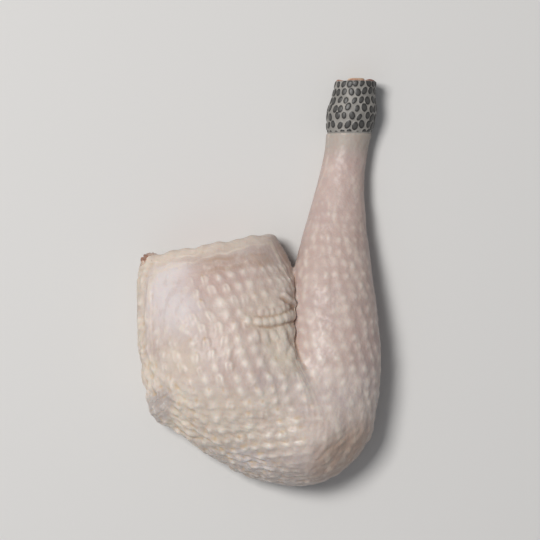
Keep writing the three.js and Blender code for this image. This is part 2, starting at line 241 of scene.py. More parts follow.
def cell_middles(points, seed):
    """Distances from each point to scattered middles, one to a unit cell, that lie round it."""
    cell = np.floor(points)
    for corner in itertools.product((-1, 0, 1), repeat=3):
        near = cell + corner
        draw = np.stack([random_at(near, seed + n) for n in range(3)], 1)
        yield np.linalg.norm(points - near - 0.5 - CELL_SCATTER * (draw - 0.5), axis=1)


def lumps(points, seed):
    """Flat-topped swellings about one unit across, 1 on top and 0 in the creases between them."""
    nearest, second = np.full(len(points), np.inf), np.full(len(points), np.inf)
    for distance in cell_middles(points, seed):
        second = np.minimum(second, np.maximum(nearest, distance))
        nearest = np.minimum(nearest, distance)
    return step(0, 0.75, second - nearest)


def domes(points, seed, sharpness=9):
    """Round-topped swellings about one unit across, from 1 on top to 0 where several meet."""
    total = sum(np.exp(-sharpness * distance**2) for distance in cell_middles(points, seed))
    return np.clip(1 + 2.6 * np.log(total + 1e-9) / sharpness, 0, 1)


print("noise at three places", noise(np.eye(3) / 2, 1).round(2))

# %% [markdown]
# The thigh is the broad mass on the left. Seen from above it has an outline of its own, so a
# point is measured by its share of the way from the middle to that outline, and the height
# follows from that share. Raising the share to more than its square gives full, steep sides
# and a flat crown, as meat has when it lies on a surface.

# %% The thigh's field
THIGH_CENTRE = (-12, 52)
THIGH_WIDEST = 12  # the height of its outline
THIGH_SINK = 4.5  # how far its round form would reach below what it lies on
THIGH_FULLNESS = 2.5
THIGH_OUTLINE = [
    (14, 0.8), (22, 3), (29, 9), (33, 18), (32.5, 31), (26.5, 45), (19.5, 58), (16.8, 68), (16.4, 78),
    (14.8, 90), (10, 101), (0, 113), (-22, 119), (-38, 112), (-46.8, 99), (-50.2, 91), (-50.8, 82),
    (-50.4, 62), (-48.4, 45), (-45.2, 33.8), (-35, 24.2), (-18.9, 12.4), (-5.5, 4.6), (5, 2),
]
THIGH_CROWN = curve([(0, 33), (20, 38), (45, 43), (70, 41), (90, 36), (106, 31)])
FLANK_FALL = 0.1  # the crown is lower by this share of the way to the left
FIELD_SCALE = 20  # turns the level into about a millimetre's distance near the surface


def outline_reach(corners, centre, per_corner=24):
    """Angles and distances from the centre to a smooth closed outline."""
    corners = np.array(corners, float)
    t = np.linspace(0, 1, per_corner, endpoint=False)[:, None]
    before, after, last = np.roll(corners, 1, 0), np.roll(corners, -1, 0), np.roll(corners, -2, 0)
    parts = []
    for p0, p1, p2, p3 in zip(before, corners, after, last):
        parts.append(0.5 * (2 * p1 + (p2 - p0) * t + (2 * p0 - 5 * p1 + 4 * p2 - p3) * t**2
                            + (3 * p1 - p0 - 3 * p2 + p3) * t**3))
    around = np.concatenate(parts) - centre
    angle = np.arctan2(around[:, 1], around[:, 0])
    order = np.argsort(angle)
    return angle[order], np.hypot(*around.T)[order]


REACH = outline_reach(THIGH_OUTLINE, THIGH_CENTRE)


def thigh_share(x, y):
    """0 at the thigh's centre on the plan, 1 on its outline."""
    dx, dy = x - THIGH_CENTRE[0], y - THIGH_CENTRE[1]
    return np.hypot(dx, dy) / np.interp(np.arctan2(dy, dx), *REACH, period=2 * np.pi)


def crown_at(x, y):
    return THIGH_CROWN(y) - FLANK_FALL * np.maximum(0, THIGH_CENTRE[0] - x)


def thigh_field(x, y, z):
    half = np.where(z > THIGH_WIDEST, crown_at(x, y) - THIGH_WIDEST, THIGH_WIDEST + THIGH_SINK)
    level = thigh_share(x, y) ** THIGH_FULLNESS + ((z - THIGH_WIDEST) / half) ** 2
    return FIELD_SCALE * (np.sqrt(level) - 1)


print("thigh outline reaches", REACH[1].min().round(1), "to", REACH[1].max().round(1), "mm")

# %% [markdown]
# The drumstick is a round limb along a bent axis, thick at the knee and thin at the hock, a
# little flatter than it is wide. At the knee it ends in half an egg.

# %% The drumstick's field
SHIN_X = curve([
    (2, 18.6), (8, 20.5), (13, 22.5), (18.5, 24.6), (24, 26.6), (40, 29.2), (58, 30.2), (77, 30.8),
    (92, 31.4), (106, 32.4), (120, 34), (133, 35.8), (150, 38.6),
])
SHIN_RADIUS = curve([
    (24, 21.2), (40, 21.3), (58, 20.9), (77, 18.9), (92, 16.4), (106, 13.4), (120, 11), (133, 9.6),
    (142, 9.3), (150, 10),
])
SHIN_FLATNESS = 0.87  # its height for a width of 1
SHIN_SETTLED = 0.86  # its axis lies at this share of half its height
SHIN_END = 149
KNEE_Y = 24
KNEE_LENGTH = 23.2


def shin_centre_z(y):
    return SHIN_RADIUS(y) * SHIN_FLATNESS * SHIN_SETTLED


def shin_field(x, y, z):
    radius = SHIN_RADIUS(y)
    ends = np.maximum(0, KNEE_Y - y) * radius / KNEE_LENGTH
    up = (z - shin_centre_z(y)) / SHIN_FLATNESS
    return np.sqrt((x - SHIN_X(y)) ** 2 + up**2 + ends**2) - radius


print("drumstick's radius", SHIN_RADIUS(KNEE_Y), "to", SHIN_RADIUS(SHIN_END).round(1), "mm")

# %% [markdown]
# Joining. The smaller of two fields is their union, and rounding that choice off by a width k
# fills the angle between them, which is what skin does where it spans a joint. The width is
# large at the knee and small along the crease. The larger of two fields is what they share:
# it cuts the leg flat where it lies, at the hip and at the hock.

# %% The leg's field
FILLET = curve([(0, 1), (4, 7), (10, 15), (22, 20), (34, 14), (52, 5), (66, 1.5)])
FILLET_INSIDE = (14, 2)  # it fades out this far to the right of the drumstick's axis
SETTLE_ROUND = 2.5  # rounding where the side meets what it lies on
CUT_ROUND = 1.6
HOLLOW_ROUND = 0.8
HIP_MIDDLE = (-20, 102)
HIP_TURN = math.radians(10.5)
SKIN_EDGE = 2.0
MEAT_RECESS = 1.8
HOLLOW_DEPTH = 6.0  # the meat is a piece of its own and fills this


def union(a, b, k, amount=1.0):
    near = np.maximum(0, 1 - np.abs(a - b) / k)
    return np.minimum(a, b) - k / 4 * near * near * amount


def overlap(a, b, k):
    return -union(-a, -b, k)


def past_knife(x, y):
    """Distance beyond the knife's straight path at the hip."""
    return (y - HIP_MIDDLE[1]) * math.cos(HIP_TURN) - (x - HIP_MIDDLE[0]) * math.sin(HIP_TURN)


def past_hip(x, y):
    """Distance beyond the skin's edge at the hip, which shrank back a little wavily."""
    return past_knife(x, y) + 0.35 * np.sin(x * 0.42) + 0.25 * np.sin(x * 0.93 + 1)


def leg_field(x, y, z):
    thigh, shin = thigh_field(x, y, z), shin_field(x, y, z)
    hip = past_hip(x, y)
    hollow = overlap(thigh + SKIN_EDGE, -(hip + HOLLOW_DEPTH), HOLLOW_ROUND)
    thigh = overlap(overlap(thigh, hip, CUT_ROUND), -hollow, HOLLOW_ROUND)
    shin = overlap(shin, y - SHIN_END, CUT_ROUND)
    inside = step(*FILLET_INSIDE, x - SHIN_X(y))
    return overlap(union(thigh, shin, FILLET(y), inside), -z, SETTLE_ROUND)


print("the knee's middle is", -leg_field(SHIN_X(KNEE_Y), KNEE_Y, shin_centre_z(KNEE_Y)).round(1), "mm deep")

# %% [markdown]
# From field to mesh. The field is sampled on a fine grid of points, and OpenVDB, which
# Blender carries, finds the surface between the samples. The result is one closed skin of
# even quads with no seam, so it can be pushed in and out anywhere.

# %% Meshing a field
def smoothed(values, quads, rounds):
    """Numbers at a mesh's points, drawn half way to their neighbours' mean in each round."""
    sides = [quads[:, [n, (n + 1) % 4]] for n in range(4)]
    a, b = np.unique(np.sort(np.concatenate(sides), 1), axis=0).T
    one, other = np.concatenate([a, b]), np.concatenate([b, a])
    count = np.bincount(one, minlength=len(values))[:, None]
    for _ in range(rounds):
        total = np.stack([np.bincount(one, v[other], len(values)) for v in values.T], 1)
        values = between(values, total / count, 0.5)
    return values


def surface_of(field, low, high, pitch, rounds=2):
    """Points in mm and quads of the surface where the field is zero, between two corners."""
    axes = [np.arange(a, b + pitch, pitch, dtype=np.float32) for a, b in zip(low, high)]
    x, y, z = axes[0][:, None, None], axes[1][None, :, None], axes[2][None, None, :]
    values = np.broadcast_to(field(x, y, z), [len(a) for a in axes])
    grid = openvdb.FloatGrid(float(values.max()))
    grid.copyFromArray(np.array(values, np.float32))
    points, _, quads = grid.convertToPolygons(isovalue=0.0)
    points = points.astype(float) * pitch + np.array([a[0] for a in axes])
    quads = quads.astype(int)
    return smoothed(points, quads, rounds), quads


def pushed(points, quads, relief):
    """Points moved out along the surface's normals by a relief in mm, but never below z = 0."""
    a, b, c, d = (points[quads[:, n]] for n in range(4))
    face = np.cross(c - a, d - b)
    total = [np.bincount(quads.ravel(), np.repeat(face[:, n], 4), len(points)) for n in range(3)]
    normals = np.stack(total, 1)
    points = points + normals / np.linalg.norm(normals, axis=1)[:, None] * relief[:, None]
    points[:, 2] = np.maximum(points[:, 2], 0)
    return points


SKIN_PITCH = 0.5
points, quads = surface_of(leg_field, (-56, -4, -2), (56, 153, 49), SKIN_PITCH, rounds=3)
print("skin points", len(points), "box", points.min(0).round(1), points.max(0).round(1))

# %% [markdown]
# Feathers grow in rows, so the bumps they leave lie on a lattice. To lay it, each point of the
# skin gets a place in its limb's own grid: how many rows from the knee, and how many columns
# across the top. On the thigh the rows run nearly straight across, and the columns crowd
# together towards the crease, where the skin is bunched.

# %% Rows and columns on the thigh
THIGH_ENDS = (3, 102)  # the first and the last row's Y
THIGH_MIDDLE = curve([(3, 8), (16, 1), (30, -5), (48, -10), (75, -15), (102, -20)])
THIGH_TURN = curve([(3, 10), (20, 8), (40, 4), (62, 4), (80, 9), (102, 11)])  # degrees
ROW_STEP = 5.5
SLACK_COLUMNS = curve([(0, 7.8), (0.3, 7.2), (1, 6.2)])  # mm between columns, by share of the arc
BUNCHED_COLUMNS = curve([(0, 8.4), (0.3, 8.2), (0.5, 7.2), (0.65, 5.6), (0.8, 3.9), (1, 3)])
BUNCHED_FROM = (30, 72)  # in Y
ARC_ANGLES = np.linspace(0, np.pi, 91)  # from the left side over the top to the right side
BEYOND_SIDES = 80.0  # mm


def distances_along(line):
    """How far along a line of points each of them lies."""
    return np.concatenate([[0], np.cumsum(np.linalg.norm(np.diff(line, axis=0), axis=1))])


crown_y = np.linspace(*THIGH_ENDS, 401)
crown_x = THIGH_MIDDLE(crown_y)
rise = np.sqrt(np.maximum(0, 1 - thigh_share(crown_x, crown_y) ** THIGH_FULLNESS))
crown_z = between(THIGH_WIDEST, crown_at(crown_x, crown_y), rise)
crown = np.stack([crown_x, crown_y, crown_z], 1)
crown_far = distances_along(crown)
even_steps = np.linspace(0, crown_far[-1], int(round(crown_far[-1] / ROW_STEP)) + 1)
middles = np.stack([np.interp(even_steps, crown_far, values) for values in crown.T], 1)
turns = np.radians(THIGH_TURN(middles[:, 1]))
across = np.stack([np.cos(turns), np.sin(turns)], 1)
onward = np.stack([-np.sin(turns), np.cos(turns)], 1)


def arc_lengths(middle, direction):
    """Length over the top from the left side to each of the arc's angles."""
    flat = -np.cos(ARC_ANGLES)
    ray = np.stack([flat * direction[0], flat * direction[1], np.sin(ARC_ANGLES)], 1)
    start = np.array([middle[0], middle[1], THIGH_WIDEST])
    near, far = np.zeros(len(ARC_ANGLES)), np.full(len(ARC_ANGLES), BEYOND_SIDES)
    for _ in range(24):  # each round halves the stretch that holds the surface
        half_way = (near + far) / 2
        inside = thigh_field(*(start + ray * half_way[:, None]).T) < 0
        near, far = np.where(inside, half_way, near), np.where(inside, far, half_way)
    return distances_along(start + ray * near[:, None])


arcs = np.array([arc_lengths(middle, direction) for middle, direction in zip(middles, across)])
WIDEST_ARC = arcs[:, -1].max()
shares = np.linspace(0, 1, 201)
slack_at, bunched_at = (
    np.concatenate([[0], np.cumsum(WIDEST_ARC * np.diff(shares) / steps(shares[1:]))])
    for steps in (SLACK_COLUMNS, BUNCHED_COLUMNS)
)
print("arcs", arcs[:, -1].round(), "mm,", slack_at[-1].round(1), "to", bunched_at[-1].round(1), "columns")


def thigh_grid(points):
    """Row, column, and the millimetres from one column to the next, of each point."""
    ahead = np.einsum("nrk,rk->nr", points[:, None, :2] - middles[None, :, :2], onward)
    row = np.clip((ahead > 0).sum(1) - 1, 0, len(middles) - 2)
    n = np.arange(len(points))
    t = np.clip(ahead[n, row] / (ahead[n, row] - ahead[n, row + 1]), -1, 2)
    middle = between(middles[row], middles[row + 1], t[:, None])
    turn = between(turns[row], turns[row + 1], t)
    aside = (points[:, 0] - middle[:, 0]) * np.cos(turn) + (points[:, 1] - middle[:, 1]) * np.sin(turn)
    angle = np.arctan2(points[:, 2] - THIGH_WIDEST, -aside)
    at = np.clip(angle / np.pi * (len(ARC_ANGLES) - 1), 0, len(ARC_ANGLES) - 1.001)
    low = at.astype(int)
    length = [between(arcs[r, low], arcs[r, low + 1], at - low) for r in (row, row + 1)]
    whole = between(arcs[row, -1], arcs[row + 1, -1], t)
    share = np.clip(between(*length, t) / whole, 0, 1)
    bunched = step(*BUNCHED_FROM, middle[:, 1])
    column = between(np.interp(share, shares, slack_at), np.interp(share, shares, bunched_at), bunched)
    width = 1 / between(1 / SLACK_COLUMNS(share), 1 / BUNCHED_COLUMNS(share), bunched)
    return row + t, column, width * whole / WIDEST_ARC

# %% Rows and columns on the drumstick
SHIN_ROW_STEP = 5.0
SHIN_COLUMNS = 11


def round_end(y):
    """The drumstick's half width, which closes at the knee."""
    return SHIN_RADIUS(y) * np.sqrt(np.maximum(0, 1 - (np.maximum(0, KNEE_Y - y) / KNEE_LENGTH) ** 2))


side_y = KNEE_Y - KNEE_LENGTH + (SHIN_END - KNEE_Y + KNEE_LENGTH) * np.linspace(0, 1, 600) ** 2
side = np.stack([SHIN_X(side_y) + round_end(side_y), side_y], 1)
side_far = distances_along(side)


def shin_grid(points):
    """What thigh_grid gives, with the rows spaced evenly along the drumstick's side."""
    x, y, z = points.T
    row = np.interp(y, side_y, side_far) / SHIN_ROW_STEP
    angle = np.arctan2((z - shin_centre_z(y)) / SHIN_FLATNESS, SHIN_X(y) - x)
    column = SHIN_COLUMNS * np.clip(angle / np.pi, 0, 1)
    width = np.maximum(np.pi * round_end(y) * SHIN_FLATNESS / SHIN_COLUMNS, 0.8)
    return row, column, width


print("the drumstick has", int(side_far[-1] / SHIN_ROW_STEP), "rows of", SHIN_COLUMNS, "columns")

# %% [markdown]
# Each row is shifted by up to two fifths of a column from the last, as on the real bird, so
# the bumps line up in slanting chains. No two are alike: every follicle draws its own offset,
# size and height. Where the skin is stretched, the quill's pit has opened its bump into a
# horseshoe of thin ridges. Where it is slack, the bump is one soft swelling with a tail
# towards the knee.

# %% Follicles
CHAIN_SLOPE = curve([(8, -0.42), (30, -0.35), (45, 0), (62, 0.3), (76, 0.36)])  # columns a row, by Y
CHAIN_LEAN = curve([(8, -0.6), (30, -0.5), (45, -0.1), (62, 0.12), (76, 0.16)])  # bumps lean this way too
CHAIN_FLATTEN = curve([(14, 1), (40, 0)])  # at 1, near the knee, bumps are short and broad
SHIN_SLOPE = 0.3
SHIN_LEAN = 0.15
THIGH_SCATTER = 0.16  # the span that follicles are scattered over, as a share of the lattice's steps
SHIN_SCATTER = 0.36
ROUND_BUMP = (1.85, 2.1)  # half width across and along the limb, in mm
BUMP_TAIL = 1.15  # it runs out further towards the knee, by this share
MOST_OF_COLUMN = 0.38
HORSESHOE = 1.05  # from its middle to the top of its ridge, in mm
RIDGE = (0.72, 2.5)  # the ridge's half width, and how far its two arms run
FLECK = (0.5, 1.7)  # a tan fleck's place beside the quill's pit, across and along
FLECK_SIZE = (0.45, 1.05)
FLAT_FLECK_SIZE = (1.6, 0.75)  # on the short and broad bumps near the knee


def follicles(grid, row_step, chains, open_share, scatter, seed):
    """The height of the bumps from 0 to 1, and how near a point is to a fleck on one."""
    row, column, width = grid
    level, flecks = np.ones(len(row)), np.zeros(len(row))
    for near_row, ahead in itertools.product((np.floor(row), np.floor(row) + 1), (0, 1)):
        offset, lean, flat = (np.interp(near_row, range(len(values)), values) for values in chains)
        near_column = np.floor(column + offset) + ahead
        cell = np.stack([near_row, near_column], 1)
        draws = (random_at(cell, seed + n) for n in range(7))
        aside, along_limb, turned, large, closed, tall, uneven = draws
        v = (row - near_row + scatter * (along_limb - 0.5)) * row_step
        u = (column + offset - near_column + 1.1 * scatter * (aside - 0.5)) * width
        u = u + (lean + 0.25 * (turned - 0.5)) * v
        size = 0.84 + 0.3 * large
        half_width = np.minimum(ROUND_BUMP[0] * (1 + 0.12 * flat), MOST_OF_COLUMN * width)
        half_length = ROUND_BUMP[1] * (0.15 + 0.85 * half_width / ROUND_BUMP[0])
        half_length = half_length * np.where(v < 0, BUMP_TAIL, 1) * (1 - 0.3 * flat)
        swelling = np.exp(-((u / half_width / size) ** 2) - (v / half_length / size) ** 2)
        # The horseshoe is round at its upper end, and its arms run straight towards the knee.
        from_ridge = np.hypot(u, np.maximum(v - 0.5, 0)) / size - HORSESHOE
        ridge = np.exp(-((from_ridge / RIDGE[0]) ** 2) - (np.minimum(v, 0) / RIDGE[1]) ** 2)
        ridge = ridge * (0.8 + 0.8 * (uneven - 0.5) * np.tanh(u / 0.5))
        ridge = ridge * (1 - 0.35 * np.exp(-((u / 0.6) ** 2)))
        opened = step(0.1, -0.1, closed - open_share(near_row, near_column - offset))
        bump = swelling + 0.55 * (ridge - swelling) * opened
        level = level * (1 - np.clip(bump * (0.7 + 0.3 * tall), 0, 1))
        beside = FLECK[0] * np.where(uneven > 0.5, 1, -1) * (1 - flat)
        broad, long = (between(*sizes, flat) for sizes in zip(FLECK_SIZE, FLAT_FLECK_SIZE))
        fleck = np.exp(-(((u - beside) / broad) ** 2) - ((v - FLECK[1]) / long) ** 2)
        flecks = np.maximum(flecks, fleck * step(0.25, 0.65, along_limb + 0.4 * flat))
    return 1 - level, flecks


def opened_on_thigh(row, column):
    """More horseshoes on the upper left of the thigh, few near the crease and the knee."""
    return 0.08 + 0.65 * step(7, 12, row) * step(9, 6, column)


def opened_on_shin(row, column):
    """The drumstick's skin is slack, so it has hardly a horseshoe."""
    return 0.05


print("a round bump is", 2 * ROUND_BUMP[0], "by", 2 * ROUND_BUMP[1], "mm")

# %% Bumps over the whole skin
x, y, z = points.T
row_drift, column_drift = 0.25 * noise(points / 13, 91), 0.3 * noise(points / 13, 93)

row, column, thigh_width = thigh_grid(points)
row_y = middles[:, 1]
chains = np.cumsum(CHAIN_SLOPE(row_y)), CHAIN_LEAN(row_y), CHAIN_FLATTEN(row_y)
grid = row + row_drift, column + column_drift, thigh_width
thigh_bumps = follicles(grid, ROW_STEP, chains, opened_on_thigh, THIGH_SCATTER, seed=1)

row, column, shin_width = shin_grid(points)
rows = np.arange(np.ceil(side_far[-1] / SHIN_ROW_STEP) + 1)
chains = SHIN_SLOPE * rows, np.full(len(rows), SHIN_LEAN), np.zeros(len(rows))
grid = row + row_drift, column + column_drift, shin_width
shin_bumps = follicles(grid, SHIN_ROW_STEP, chains, opened_on_shin, SHIN_SCATTER, seed=31)

# Near the crease a point belongs to one limb or the other; over the knee they mix.
MIX_WIDTH = curve([(0, 8), (30, 6), (50, 2), (70, 0.6)])
on_shin = step(-1, 1, (thigh_field(x, y, z) - shin_field(x, y, z)) / MIX_WIDTH(y))
bumps, flecks = (between(*pair, on_shin) for pair in zip(thigh_bumps, shin_bumps))
print("share of the skin on the drumstick", on_shin.mean().round(2))

# %% [markdown]
# How strong the bumps are differs from place to place, and so does the colour. The skin is
# smooth and lilac on the upper left, where muscle shows through, and stretched along the cut.
# A rim of fat runs down the flank. The lower left is slack, crumpled and yellow with fat, and
# round the front of the knee the skin is thin and wet. Each zone is a soft-edged patch.

# %% Zones of the skin
def patch(cx, cy, rx, ry, turn=0.0, soft=0.5):
    """1 inside an oval on the plan, easing to 0 outside it."""
    c, s = math.cos(math.radians(turn)), math.sin(math.radians(turn))
    u, v = ((x - cx) * c + (y - cy) * s) / rx, ((y - cy) * c - (x - cx) * s) / ry
    return step(1 + soft, 1 - soft, np.hypot(u, v))


hip = -past_hip(x, y)
up = step(2, 11, z)
out = thigh_share(x, y)
thigh_only = 1 - on_shin
smooth_patch = patch(-37, 81, 9, 15) * thigh_only
hip_band = step(14, 7, hip) * thigh_only
flank = step(0.82, 0.98, out) * step(-34, -45, x) * step(38, 56, y) * step(4, 14, z)
rim_side = step(-38, -45, x) * step(58, 52, y) * step(36, 42, y)
left_side = step(-26, -36, x) * step(76, 66, y) * thigh_only
slack = patch(-36, 34, 20, 12, turn=-42) * step(3, 9, z) * thigh_only
slack_corner = patch(-43.2, 28.2, 5.5, 6.5, soft=0.9) * step(2, 9, z)
pocket = patch(-41.5, 34, 5.2, 8, turn=-20, soft=0.6) * thigh_only * step(2, 13, z)
firm = slack * (1 - pocket)
low_edge = step(0.72, 0.86, out) * step(46, 38, y) * step(-4, -12, x) * step(3, 8, z)
low_edge = low_edge * (1 - pocket) * (0.4 + 0.6 * step(10, 22, y))
knee_front = patch(-2, 7, 26, 8, turn=-14, soft=0.6) * step(1, 6, z)
knee_side = patch(36, 14, 18, 10, turn=38, soft=0.6) * step(1, 6, z)
knee_end = step(44, 28, y) * thigh_only
crease_side = patch(11, 59, 8, 13, turn=12) * thigh_only
print("share of the skin that is slack", slack.mean().round(2))

# %% Strength of the bumps
FURROW_ROOM = [(-2, 70.6), (6, 71), (10, 72.5), (16, 73.6)]  # the furrow has its own beads
WEAKER = [  # a zone, and the share of their height that the bumps lose in it
    (smooth_patch, 0.85), (hip_band, 0.95), (flank, 0.9), (crease_side, 0.3),
    (knee_front, 0.4), (knee_side, 0.3), (patch(22, 22, 10, 12), 0.3),
    (thigh_only * step(4.6, 3, to_line(x, y, FURROW_ROOM)), 0.9),
    (thigh_only * patch(8, 64, 8, 4, turn=6), 0.6),
    (on_shin * step(19, 6, z), 1), (on_shin, 0.3 + 0.4 * step(96, 128, y)),
]
crowded = step(4.6, 2.4, thigh_width)
strength = up * (1 - 0.28 * crowded) * np.prod([1 - zone * share for zone, share in WEAKER], axis=0)
fuller = 0.3 * step(38, 18, y) - 0.2 * step(55, 70, y) - 0.3 * patch(-38, 50, 9, 18)
strength = strength * (1 + thigh_only * fuller)
print("strength of the bumps", strength.min().round(2), "to", strength.max().round(2))

# %% [markdown]
# Folds come from where the skin is slack. The deepest is the furrow that runs into the crease
# between thigh and drumstick, with a beaded roll above it, pleats below it, and a small tan
# fold where skin is tucked into the crease. The flank's edge is two soft rolls of fat. A fold
# is a trough or a ridge along a line, and crumpled skin is a field of stretched lumps.

# %% Folds along the crease and the flank
FURROW = [(-1.9, 68.4), (1.1, 67.9), (5, 67.4), (8, 68.2), (10.9, 69.2), (13.4, 69.8), (16.6, 70.6)]
ROLL = [(-4, 70.4), (0.1, 69.7), (3.8, 69.7), (6, 70), (8.2, 70.4), (10.7, 71.2), (13.4, 72.2), (16.6, 73)]
UPPER_FURROW = [(-0.9, 71.9), (3.6, 71.8), (8, 72.4), (10.5, 73.5), (12.6, 75)]
TUCK = [(9.6, 80.6), (12.2, 78.2), (14.2, 76.2), (15.8, 74.9)]
TUCK_SHADE = [(8.8, 79), (11.2, 76.9), (13.6, 74.7)]
POCKET_LIP = [(-35.8, 45), (-35, 38.5), (-32, 34)]
CREASE_BULGE = [(11.5, 84), (11.2, 72), (11.2, 62), (13.5, 52), (18, 43)]  # skin swells beside the crease
LINES = [  # a line, its height in mm and its half width
    (ROLL, 0.55, 1.9), (UPPER_FURROW, -0.2, 0.45), (TUCK, 1.1, 0.95), (TUCK_SHADE, -0.4, 0.6),
    (POCKET_LIP, 0.5, 1.0), (CREASE_BULGE, 1.9, 5.0),
]
BEADS = [  # x, y, size
    (-4.1, 70.2, 1.05), (0.1, 69.7, 1.15), (3.1, 69.7, 1), (5.3, 69.9, 0.9),
    (7.9, 70.4, 1.1), (10.3, 71.2, 1.05), (12.7, 71.9, 1.25), (15.4, 72.5, 1.4),
]
UPPER_BEADS = [
    (1.3, 73.8, 1.1), (3.8, 73.6, 1), (5.7, 73.8, 0.9), (7.9, 74.3, 1.15), (9.7, 75.1, 0.9), (11.2, 76.1, 1),
]
PLEATS = [(-0.6, 64.2, 1.1), (3, 63.6, 1.2), (6.2, 64, 1), (9, 65.2, 1.15), (11.4, 66.4, 0.9)]
CREASE_LOBES = [(13.6, 64.6, 1), (9.4, 60.6, 1.1), (13, 56.4, 0.9)]
BEAD_EASE = 1.2  # above 1, a bead's foot eases into the skin round it
CORNER_BULGE = 2.9  # how far the slack corner at the lower left bags out
FLANK_ROLLS = [
    [(-44.6, 97), (-47.9, 89), (-48.9, 72), (-48.3, 58), (-46.2, 46)],
    [(-42, 94), (-44.6, 87), (-45.8, 72), (-44.9, 58), (-42.4, 46)],
]


def along(line, half_width):
    """1 on a line on the thigh, falling to 0 beside it."""
    return np.exp(-((to_line(x, y, line) / half_width) ** 2)) * up * thigh_only


def beads(middles, half_width, half_length, lean):
    """Round-topped beads on the thigh, 1 on top, whose upper ends lean left by a share of their rise."""
    top, long = np.zeros(len(points)), math.hypot(lean, 1)
    for bx, by, size in middles:
        ahead = ((y - by) - lean * (x - bx)) / long / size
        beside = ((x - bx) + lean * (y - by)) / long / size
        dome = np.maximum(0, 1 - (beside / half_width) ** 2 - (ahead / half_length) ** 2)
        top = np.maximum(top, dome**BEAD_EASE)
    return top * up * thigh_only


folds = CORNER_BULGE * slack_corner - 0.5 * along(FURROW, 0.45) * step(-2.5, 2, x)
for line, height, half_width in LINES:
    folds = folds + height * along(line, half_width)
rolled, upper = beads(BEADS, 1.75, 2.3, 0.25), beads(UPPER_BEADS, 1.4, 1.7, 0.1)
pleats, lobes = beads(PLEATS, 1.5, 3.2, 0.3), beads(CREASE_LOBES, 2.4, 4.4, 0.3)
folds = folds + 0.55 * rolled + 0.4 * upper + 0.5 * pleats + 0.85 * lobes
for n, line in enumerate(FLANK_ROLLS):
    knots = 0.7 + 0.45 * noise(np.stack([y / 3.2, np.full_like(y, n * 7.0), z / 2.6], 1), 5)
    roll = np.exp(-((to_line(x, y, line) / 1.1) ** 2)) * step(38, 50, y) * step(6, 12, z)
    folds = folds + 1.15 * knots * roll
print("folds", folds.min().round(2), "to", folds.max().round(2), "mm")

# %% Lumps and wrinkles of slack skin
PLAN_STRETCH = np.array([1, 1, 0.6])
ASKEW = np.array([[0.8, -0.36, 0.48], [0.6, 0.48, -0.64], [0, 0.8, 0.6]])  # off the limbs' own axes
LUMP_ROUNDS = 3  # rounds of smoothing for the lumps of slack skin, which has no sharp creases
place = (points * PLAN_STRETCH) @ ASKEW
wander = noise(place / 9, 3)
taut = (1 - slack) * (1 - hip_band) * up
LUMPS = [  # a zone, the lumps' depth, length, breadth and height in mm, their turn, and a seed
    (firm, 0.95, 6.2, 4.4, 5, -25, 11),
    (low_edge, 0.62, 5.6, 3.6, 4.2, -24, 21),
    (rim_side, 1.0, 8, 3.6, 6, -40, 15),
    (np.maximum(firm, 0.8 * low_edge), 0.45, 2.9, 2.2, 2.7, -20, 9),
]
WRINKLES = [  # the same, left sharp
    (pocket, 0.42, 8, 1.3, 14, 40, 17),
    (knee_front, 0.5, 8, 2.2, 4, -8, 19),
    (knee_front, 0.4, 3.4, 1.2, 2, -6, 25),
    (knee_side, 0.45, 5.5, 2.6, 4, 35, 23),
    (flank, 0.4, 5.0, 2.4, 3.6, 12, 33),
    (taut * (1 + 2 * left_side), 0.1, 3.4, 1.9, 2.6, 60, 29),
    (taut * knee_end, 0.24, 3.6, 1.7, 2.6, -15, 39),
]


def crumple(zone, depth, long, short, high, turn, seed):
    """Relief of lumps of a length, breadth and height in mm, turned on the plan, in one zone."""
    relief = np.zeros(len(points))
    shown = zone > 0.001
    c, s = math.cos(math.radians(turn)), math.sin(math.radians(turn))
    u, v = x[shown] * c + y[shown] * s, y[shown] * c - x[shown] * s
    drift = 0.25 * wander[shown] + 0.3 * noise(place[shown] / (2.2 * short), seed + 7)
    grid = np.stack([u / long + drift, v / short + drift, z[shown] / high], 1)
    relief[shown] = zone[shown] * depth * (domes(grid, seed) - 0.55)
    return relief


lumpy = sum(crumple(*row) for row in LUMPS)
folds = folds + smoothed(lumpy[:, None], quads, LUMP_ROUNDS)[:, 0]
folds = folds + sum(crumple(*row) for row in WRINKLES) - 0.5 * pocket
print("with lumps", folds.min().round(2), "to", folds.max().round(2), "mm")

# %% Lines of stretched skin along the cut, and the whole relief
BUMP_HEIGHT = 0.7
edge = np.minimum(hip, (1 - out) * 36 + 1.5)  # lines run along the cut and round its corner
near_cut = step(16, 6, edge) * step(0.4, 2, edge)
stretch_lines = noise(np.stack([edge / 0.9, x / 18, y / 18], 1), 41) * near_cut
fine_lines = step(0.14, 0.02, np.abs(noise(np.stack([edge / 2.2, x / 45, y / 45], 1), 43))) * near_cut
loose = 0.35 * noise(place / 15, 31) + 0.2 * noise(place / 6.5, 37) * (0.4 + 0.6 * up)
relief = loose + (0.16 * stretch_lines + 0.12 * fine_lines) * thigh_only * up
relief = relief + folds + BUMP_HEIGHT * strength * bumps
print("relief", relief.min().round(2), "to", relief.max().round(2), "mm")
